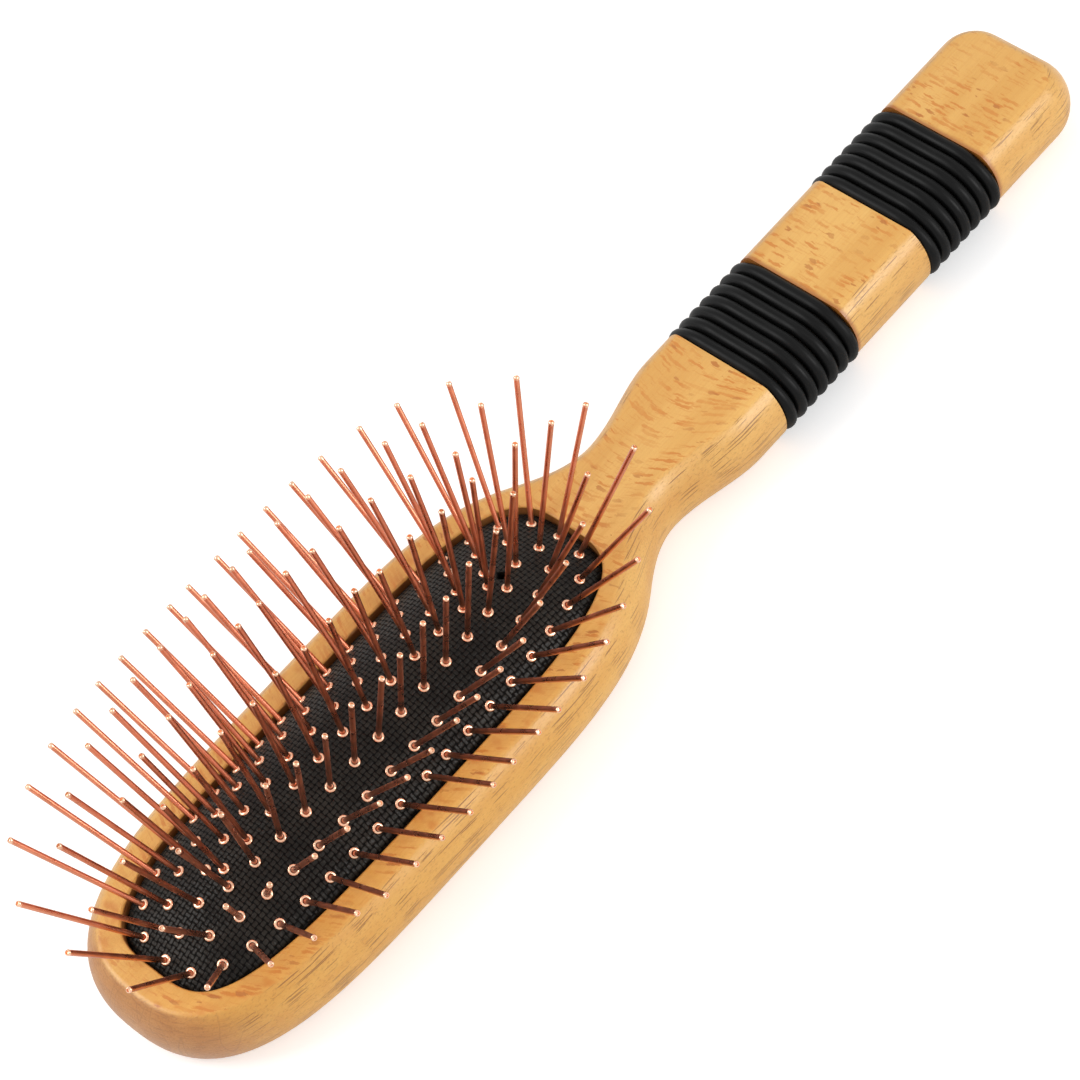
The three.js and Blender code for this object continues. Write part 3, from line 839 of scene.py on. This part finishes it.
class BRUSH_OT_wooden_body(bpy.types.Operator):
    """Models the beech body with its rounded edge, its recess and the seats of the rings"""

    bl_idname = "pin_brush.wooden_body"
    bl_label = "Wooden Body"

    def model_blank(self, body):
        """The body with its rounded edge, left open for editing."""
        low = 2 * body.edge_round + PLAY
        piece = block("beech_body", body_outline(body), 0, low)

        # The edge is rounded as a quarter circle from each face and stretched, and the faces are cut flat.
        pick("EDGE", lambda edge: abs(edge.verts[0].co.z - edge.verts[1].co.z) < PLAY / 2)
        bpy.ops.mesh.bevel(offset=body.edge_round, segments=EDGE_SEGMENTS, profile=0.5, clamp_overlap=False)
        select_mesh()
        bpy.ops.mesh.remove_doubles(threshold=2 * PLAY)
        stretch = (body.thickness + 2 * body.edge_spare) / low
        bpy.ops.transform.resize(value=(1, 1, stretch), center_override=(0, 0, 0))
        bpy.ops.transform.translate(value=(0, 0, -body.edge_spare))
        for z, outward in ((0, -1), (body.thickness, 1)):
            split((0, 0, z), (0, 0, outward), clear_outer=True, use_fill=True)
        face_out()
        pick("EDGE", lambda edge: sum(abs(face.normal.z) > LEVEL for face in edge.link_faces) == 1)
        bpy.ops.mesh.bevel(offset=body.crease, segments=CREASE_SEGMENTS, profile=0.5, clamp_overlap=False)
        return piece

    def sink_seats(self, body, bands):
        """Sinks a seat for each band of rings, between its two ends."""
        for ends in bands:
            for x in ends:
                split((x, 0, 0), (1, 0, 0))
            pick("FACE", lambda face: ends[0] < face.calc_center_median().x < ends[1])
            bpy.ops.mesh.extrude_region_shrink_fatten(
                TRANSFORM_OT_shrink_fatten={"value": -body.seat_depth, "use_even_offset": True}
            )
        finish_edit()

    def model_recess(self, body, cushion):
        """The tool that cuts the recess. It opens out at the top so that it leaves a rounded edge."""
        shape = cushion.half_length, cushion.half_width, cushion.squareness
        edge = [superellipse(2 * math.pi * (i + 0.5) / RECESS_POINTS, *shape) for i in range(RECESS_POINTS)]
        r = body.rim_rounding
        top = body.thickness - r
        tool = block("recess_tool", edge, body.thickness - cushion.recess_depth, cushion.recess_depth - r)
        pick("FACE", lambda face: face.normal.z > 0.9)
        out_before, z_before = 0.0, top
        for i in range(1, RIM_STEPS + 1):
            turn = i / RIM_STEPS * math.pi / 2
            out, z = r * (1 - math.cos(turn)), top + r * math.sin(turn)
            pull(z - z_before)
            along, across = ((half + out) / (half + out_before) for half in shape[:2])
            widen(along, across, z)
            out_before, z_before = out, z
        pull(cushion.recess_depth)
        finish_edit()
        return tool

    def execute(self, context):
        scene = context.scene
        body, cushion, rings = scene.pin_brush_body, scene.pin_brush_cushion, scene.pin_brush_rings
        finish = scene.pin_brush_finish
        reach = rings.count * rings.pitch / 2
        bands = [(centre - reach, centre + reach) for centre in (rings.first_band, rings.second_band)]
        piece = self.model_blank(body)
        self.sink_seats(body, bands)
        cut(piece, self.model_recess(body, cushion))

        def in_recess(face):
            """The wall and the floor of the recess."""
            middle = face.calc_center_median()
            u = abs(middle.x) / (cushion.half_length + RECESS_PLAY)
            v = abs(middle.y) / (cushion.half_width + RECESS_PLAY)
            rim = body.thickness - 0.75 * body.rim_rounding
            return body.thickness / 2 < middle.z < rim and way_out(u, v, cushion.squareness) < 1

        def in_seat(face):
            """The seats of the rings, without their end walls."""
            x = face.calc_center_median().x
            return any(low + PLAY < x < high - PLAY for low, high in bands)

        dress(
            piece,
            beech_material(finish, [high for low, high in bands]),
            darker_wood_material("recess_wood", finish.recess, finish.grain),
            # Painted shade: near-black wood for the seats under the rings.
            darker_wood_material("seat_painted_shade", finish.seat, finish.seat),
        )
        edit(piece)
        use_material(1, in_recess)
        use_material(2, in_seat)
        smooth(piece, WOOD_SHARP)
        give(piece, "brush_body", "beech", "wooden_body")
        return {"FINISHED"}


class BRUSH_OT_cushion(bpy.types.Operator):
    """Models the domed rubber cushion with its air vent"""

    bl_idname = "pin_brush.cushion"
    bl_label = "Cushion"

    def shape_dome(self, piece, body, cushion):
        """Moves the squares of a grid to superellipses, closer together where the dome turns down."""
        long, wide = cushion_size(cushion)
        for vertex in piece.data.vertices:
            a, b = vertex.co.x, vertex.co.y
            square = max(abs(a), abs(b))
            if square > GRID_TURN:
                reach = 1 - (1 - square) ** GRID_POWER
            else:
                reach = square * (1 - (1 - GRID_TURN) ** GRID_POWER) / GRID_TURN
            if square > 0:
                norm = way_out(abs(a), abs(b), cushion.squareness)
                a, b = a / norm * reach, b / norm * reach
            vertex.co = (a * long, b * wide, dome_height(body, cushion, a * long, b * wide))

    def execute(self, context):
        scene = context.scene
        body, cushion = scene.pin_brush_body, scene.pin_brush_cushion
        deselect()
        along, across = CUSHION_GRID
        bpy.ops.mesh.primitive_grid_add(x_subdivisions=along, y_subdivisions=across, size=2)
        piece = bpy.context.object
        piece.name = "rubber_cushion"
        self.shape_dome(piece, body, cushion)
        edit(piece, "EDGE")
        face_out()
        pick("EDGE", lambda edge: edge.is_boundary)
        pull(-2 * cushion.wall)
        finish_edit()
        modify(piece, "SOLIDIFY", thickness=cushion.wall, offset=-1)
        deselect()
        bpy.ops.mesh.primitive_cylinder_add(
            vertices=VENT_SIDES, radius=cushion.vent_radius, depth=6 * cushion.wall,
            location=(cushion.vent, 0, dome_height(body, cushion, cushion.vent, 0)),
        )
        cut(piece, bpy.context.object)
        smooth(piece, SHARP)
        dress(piece, cushion_material(scene.pin_brush_finish, cushion.thread))
        give(piece, "brush_body", "cushion_rubber", "cushion_membrane")
        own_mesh(piece)
        return {"FINISHED"}


class BRUSH_OT_pins(bpy.types.Operator):
    """Models one pin and sets copies of it in the four rows"""

    bl_idname = "pin_brush.pins"
    bl_label = "Pins"

    def turned(self, name, profile, sides):
        """A piece turned on the Z axis from a profile of radii and heights."""
        piece = disc(name, sides, *profile[0])
        edit(piece)
        for (r0, z0), (r1, z1) in zip(profile, profile[1:]):
            pull(z1 - z0)
            widen(r1 / r0, r1 / r0, z1)
        face_out()
        finish_edit()
        bpy.ops.object.shade_smooth_by_angle(angle=SHARP)
        return piece

    def model_pin(self, pins, wire, polished):
        """One pin on the Z axis, with the top of the rubber at z = 0, and a dimple in its polished tip."""
        end = pins.length
        profile = [(pins.radius, -pins.shank), (pins.radius, end - WIRE_END)]
        profile += [(share * pins.tip_radius, end - depth * MM) for share, depth in TIP_PROFILE]
        piece = self.turned("pin", profile, pins.sides)
        dress(piece, wire, polished)
        edit(piece)
        use_material(1, lambda face: face.calc_center_median().z > end - POLISH_END)
        finish_edit()
        return piece

    def model_collar(self, pins, polished):
        """One collar on the Z axis: a washer with a round rim and a broad top that drops to the wire."""
        height = pins.collar_height
        profile = [(share * pins.collar_radius, rise * height) for share, rise in COLLAR_PROFILE]
        profile.append((COLLAR_HOLE[0] * pins.radius, COLLAR_HOLE[1] * height))
        piece = self.turned("collar", profile, pins.collar_sides)
        dress(piece, polished)
        return piece

    def place(self, scene, x, y):
        """Where the pin at x, y stands on the dome, which way it leans and which way its collar faces."""
        body, cushion, pins = scene.pin_brush_body, scene.pin_brush_cushion, scene.pin_brush_pins
        end_inset, side_inset = PIN_ROWS[0][2:4]
        share = abs(x) / (cushion.half_length - end_inset)
        fade = 1 - pins.end_fade * share**2
        sideways = math.tan(pins.side_lean * y / (cushion.half_width - side_inset)) * fade
        endways = math.copysign(math.tan(pins.end_lean * share**pins.end_lean_power), x)
        step = 0.01 * MM
        fall_x = dome_height(body, cushion, x - step, y) - dome_height(body, cushion, x + step, y)
        fall_y = dome_height(body, cushion, x, y - step) - dome_height(body, cushion, x, y + step)
        base = Vector((x, y, dome_height(body, cushion, x, y)))
        lean, upright = Vector((endways, sideways, 1)), Vector((fall_x, fall_y, 2 * step))
        return base, lean.normalized(), upright.normalized()

    def set_row(self, scene, patterns, row, points):
        """Copies the pin and its collar to each point and joins the copies."""
        copies = []
        stray = math.tan(scene.pin_brush_pins.stray)
        name = f"copper_pins_{row}"
        dice = random.Random(name)
        for x, y in points:
            base, lean, upright = self.place(scene, x, y)
            lean = lean + Vector((dice.gauss(0, stray), dice.gauss(0, stray), 0))
            for pattern, direction in zip(patterns, (lean, upright)):
                copy = copied(pattern)
                turn = direction.to_track_quat("Z", "Y").to_matrix().to_4x4()
                copy.matrix_world = Matrix.Translation(base) @ turn
                copies.append(copy)
        make_active(copies[0])
        for copy in copies:
            copy.select_set(True)
        bpy.ops.object.join()
        piece = bpy.context.object
        piece.name = name
        settle()
        give(piece, f"{row}_pins", "copper_pins", f"pins_{row}_row")

    def execute(self, context):
        scene = context.scene
        cushion, pins, finish = scene.pin_brush_cushion, scene.pin_brush_pins, scene.pin_brush_finish
        # Partly painted light: the wire is darker and redder for the reflections of the pins and wood, and
        # the polished copper is paler for the lamps' highlights.
        wire = copper_material("copper_wire", finish.copper, 0.26)
        polished = copper_material("polished_copper", finish.polished, 0.17)
        patterns = (self.model_pin(pins, wire, polished), self.model_collar(pins, polished))
        for row, count, end_inset, side_inset, squareness in PIN_ROWS:
            shape = cushion.half_length - end_inset, cushion.half_width - side_inset, squareness
            self.set_row(scene, patterns, row, even_points(count, *shape))
        row, count, end_inset = CENTRE_ROW
        long = cushion.half_length - end_inset
        self.set_row(scene, patterns, row, [(2 * long * i / (count - 1) - long, 0) for i in range(count)])
        remove(*patterns)
        return {"FINISHED"}


class BRUSH_OT_grip_rings(bpy.types.Operator):
    """Models the rubber rings of the two bands on the handle"""

    bl_idname = "pin_brush.grip_rings"
    bl_label = "Grip Rings"

    def path(self, body, rings, x):
        """The middle of the cord round the handle at x."""
        inset = rings.cord_radius - rings.proud
        middle = half_width(body, x) - rings.bend
        half = body.thickness / 2
        side = []
        for i in range(RING_TURN_STEPS + 1):
            turn = (0.5 - i / RING_TURN_STEPS) * math.pi
            y = middle + (rings.bend - inset) * math.cos(turn)
            side.append((x, y, half + (half - inset) * math.sin(turn)))
        level = [middle * (1 - 2 * i / RING_FACE_STEPS) for i in range(1, RING_FACE_STEPS)]
        under = [(x, y, side[-1][2]) for y in level]
        over = [(x, -y, side[0][2]) for y in level]
        return side + under + [(x, -y, z) for x, y, z in side[::-1]] + over

    def model_ring(self, body, rings, x):
        """A ring as a round cord along its path."""
        points = self.path(body, rings, x)
        deselect()
        bpy.ops.mesh.primitive_circle_add(vertices=len(points), radius=0.01)
        for vertex, point in zip(bpy.context.object.data.vertices, points):
            vertex.co = point
        bpy.ops.object.convert(target="CURVE")
        curve = bpy.context.object.data
        curve.bevel_depth = rings.cord_radius
        curve.bevel_resolution = CORD_RESOLUTION
        bpy.ops.object.convert(target="MESH")
        ring = bpy.context.object
        edit(ring)
        bpy.ops.mesh.remove_doubles(threshold=0.01 * MM)
        face_out()
        finish_edit()
        bpy.ops.object.shade_smooth()
        return ring

    def execute(self, context):
        scene = context.scene
        body, rings = scene.pin_brush_body, scene.pin_brush_rings
        material = ring_material(scene.pin_brush_finish)
        for band, centre in enumerate((rings.first_band, rings.second_band), 1):
            pattern = self.model_ring(body, rings, centre)
            dress(pattern, material)
            for i in range(rings.count):
                x = centre + (i - (rings.count - 1) / 2) * rings.pitch
                ring = copied(pattern)
                ring.name = f"rubber_ring_{band}_{i + 1}"
                edit(ring)
                bpy.ops.transform.translate(value=(x - centre, 0, 0))
                # The handle widens a little along the band, so the two halves of a ring are moved apart.
                wider = half_width(body, x) - half_width(body, centre)
                for side in (1, -1):
                    pick("FACE", lambda face: face.calc_center_median().y * side > body.neck_half_width / 2)
                    bpy.ops.transform.translate(value=(0, side * wider, 0))
                finish_edit()
                give(ring, "brush_body", "grip_rubber", f"grip_ring_{band}_{i + 1}")
            remove(pattern)
        return {"FINISHED"}


# ---------------- stage

FLOOR_SIZE = 6
FLOOR_MIDDLE = (0.06, 0)
# How much the floor shines of its own, as the camera sees it.
FLOOR_GLOW = 0.35
# The lamps: name, place, target, width and height, power.
LAMPS = (
    ("key_lamp", (0.42, -0.74, 0.42), (0.12, 0, 0.01), (0.3, 0.5), 4.0),
    ("fill_lamp", (-0.45, 0.50, 0.70), (0.03, 0, 0.01), (0.6, 0.45), 4.6),
)
# The directions to the right of the camera and behind it, and the width of its sensor in mm.
CAMERA_RIGHT = Vector((0.6507, -0.7342, -0.1936))
CAMERA_BACK = Vector((-0.3032, -0.4849, 0.8203))
SENSOR = 36
CLIP = (0.01, 20)


class BRUSH_OT_stage(bpy.types.Operator):
    """Sets the floor, the lamps, the room light and the camera"""

    bl_idname = "pin_brush.stage"
    bl_label = "Stage"

    def lay_floor(self, tint):
        """A pale floor under the lowest point of the brush."""
        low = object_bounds()[0].z
        deselect()
        bpy.ops.mesh.primitive_plane_add(size=FLOOR_SIZE, location=(*FLOOR_MIDDLE, low))
        floor = bpy.context.object
        floor.name = "floor"
        settle()
        dress(floor, floor_material(tint))
        floor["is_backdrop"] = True

    def hang_lamp(self, name, place, target, size, power):
        """A soft lamp that points at a target."""
        deselect()
        bpy.ops.object.light_add(type="AREA", location=place)
        lamp = bpy.context.object
        lamp.name = name
        lamp.data.shape = "RECTANGLE"
        lamp.data.size, lamp.data.size_y = size
        lamp.data.energy = power
        lamp.rotation_mode = "QUATERNION"
        lamp.rotation_quaternion = (Vector(target) - Vector(place)).to_track_quat("-Z", "Y")

    def light_room(self, scene, room):
        """Light from all round, which the camera and polished metal see as white."""
        scene.world = bpy.data.worlds.new("pale_room")
        tree = empty_tree(scene.world)
        path = node(tree, "LightPath", {}).outputs
        seen = largest(tree, *(path[f"Is {kind} Ray"] for kind in ("Camera", "Transmission", "Glossy")))
        strength = calc(tree, "MULTIPLY_ADD", seen, calc(tree, "SUBTRACT", 1, room), room)
        background = node(tree, "Background", {"Color": (1, 1, 1, 1), "Strength": strength})
        node(tree, "OutputWorld", {"Surface": background.outputs[0]})

    def place_camera(self, scene, stage):
        """The camera, square to its two directions."""
        view = bpy.data.cameras.new("camera")
        camera = bpy.data.objects.new("camera", view)
        scene.collection.objects.link(camera)
        view.sensor_width = SENSOR
        view.lens = stage.lens
        view.clip_start, view.clip_end = CLIP
        right, back = CAMERA_RIGHT.normalized(), CAMERA_BACK.normalized()
        turn = Matrix((right, back.cross(right).normalized(), back)).transposed().to_4x4()
        camera.matrix_world = Matrix.Translation(Vector(stage.camera_at)) @ turn
        scene.camera = camera

    def execute(self, context):
        scene = context.scene
        stage = scene.pin_brush_stage
        self.lay_floor(stage.floor)
        self.light_room(scene, stage.room)
        for lamp in LAMPS:
            self.hang_lamp(*lamp)
        self.place_camera(scene, stage)
        scene.view_settings.view_transform = "Standard"
        return {"FINISHED"}


class BRUSH_PT_panel(bpy.types.Panel):
    """Lists the pieces of the brush"""

    bl_idname = "BRUSH_PT_panel"
    bl_label = "Pin Brush"
    bl_space_type = "VIEW_3D"
    bl_region_type = "UI"
    bl_category = "Pin Brush"

    def draw(self, context):
        for operator in OPERATORS:
            self.layout.operator(operator.bl_idname)
        for name, group in GROUPS.items():
            box = self.layout.box()
            box.label(text=group.__doc__)
            for key in group.__annotations__:
                box.prop(getattr(context.scene, name), key)


OPERATORS = (
    BRUSH_OT_wooden_body,
    BRUSH_OT_cushion,
    BRUSH_OT_pins,
    BRUSH_OT_grip_rings,
    BRUSH_OT_stage,
)


def register():
    """Makes the settings, the operators and the panel known to Blender."""
    for item in (*GROUPS.values(), *OPERATORS, BRUSH_PT_panel):
        bpy.utils.register_class(item)
    for name, group in GROUPS.items():
        setattr(bpy.types.Scene, name, PointerProperty(type=group))


def unregister():
    """Takes them away again."""
    for name in GROUPS:
        delattr(bpy.types.Scene, name)
    for item in reversed((*GROUPS.values(), *OPERATORS, BRUSH_PT_panel)):
        bpy.utils.unregister_class(item)


def main():
    """Builds the brush and its stage."""
    register()
    bpy.ops.pin_brush.wooden_body()
    bpy.ops.pin_brush.cushion()
    bpy.ops.pin_brush.pins()
    bpy.ops.pin_brush.grip_rings()
    bpy.ops.pin_brush.stage()


if __name__ == "__main__":
    main()
